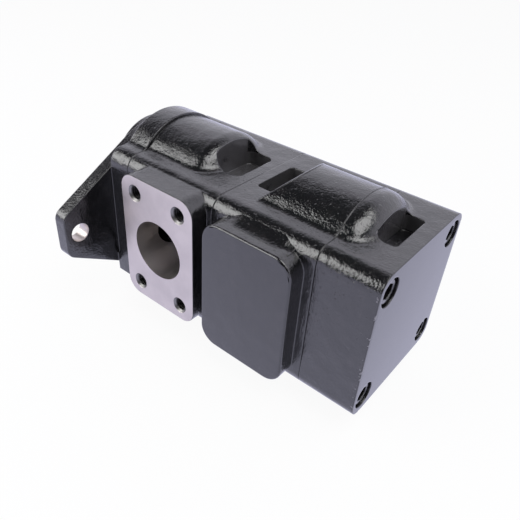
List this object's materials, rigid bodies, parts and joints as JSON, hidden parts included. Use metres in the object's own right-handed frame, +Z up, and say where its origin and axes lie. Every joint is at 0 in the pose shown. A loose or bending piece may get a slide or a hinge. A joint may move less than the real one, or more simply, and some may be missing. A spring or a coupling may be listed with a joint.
{
  "type": "hydraulic gear pump",
  "caption": "Tandem hydraulic gear pump: sandwiched castings with a flange, keyed shaft, side suction port, side outlets, meshing gears in bearing blocks.",
  "frame": {"origin": "centre of the mounting pilot, on the drive shaft axis, in the plane of the flange mounting face", "axes": "+X along the shaft from the flange to the end cover, -Y out of the suction port, +Z up"},
  "size_m": [0.275, 0.206, 0.1526],
  "materials": {
    "painted_casting": "gloss black paint over cast iron, machined port and bolt faces left bare",
    "ground_steel": "ground and hardened steel",
    "black_steel": "black oxide steel",
    "block_aluminium": "machined aluminium",
    "bush_bronze": "bronze backed bearing bush",
    "seal_rubber": "moulded nitrile rubber"
  },
  "bodies": {
    "housing": {"front_cover": "painted_casting", "front_section": "painted_casting", "rear_section": "painted_casting", "end_cover": "painted_casting", "shaft_seal": "seal_rubber", "seal_retaining_ring": "black_steel", "front_joint_seal": "seal_rubber", "centre_joint_seals": "seal_rubber", "rear_joint_seal": "seal_rubber", "joint_dowels": "ground_steel", "cap_screws": "black_steel", "front_stage_front_block": "block_aluminium", "front_stage_front_bushes": "bush_bronze", "front_stage_front_load_seal": "seal_rubber", "front_stage_rear_block": "block_aluminium", "front_stage_rear_bushes": "bush_bronze", "front_stage_rear_load_seal": "seal_rubber", "rear_stage_front_block": "block_aluminium", "rear_stage_front_bushes": "bush_bronze", "rear_stage_front_load_seal": "seal_rubber", "rear_stage_rear_block": "block_aluminium", "rear_stage_rear_bushes": "bush_bronze", "rear_stage_rear_load_seal": "seal_rubber"},
    "drive_train": {"drive_shaft": "ground_steel", "shaft_coupling": "black_steel", "rear_drive_gear": "ground_steel"},
    "front_driven": {"front_driven_gear": "ground_steel"},
    "rear_driven": {"rear_driven_gear": "ground_steel"}
  },
  "joints": [
    {"name": "drive_spin", "type": "hinge", "parent": "housing", "child": "drive_train", "pos_m": [0, 0, 0], "axis": [1, 0, 0], "continuous": true},
    {"name": "front_driven_spin", "type": "hinge", "parent": "housing", "child": "front_driven", "pos_m": [0, 0, -0.054], "axis": [1, 0, 0], "continuous": true},
    {"name": "rear_driven_spin", "type": "hinge", "parent": "housing", "child": "rear_driven", "pos_m": [0, 0, -0.054], "axis": [1, 0, 0], "continuous": true}
  ],
  "couplings": [
    {"joint": "front_driven_spin", "follows": "drive_spin", "ratio": -1},
    {"joint": "rear_driven_spin", "follows": "drive_spin", "ratio": -1}
  ]
}
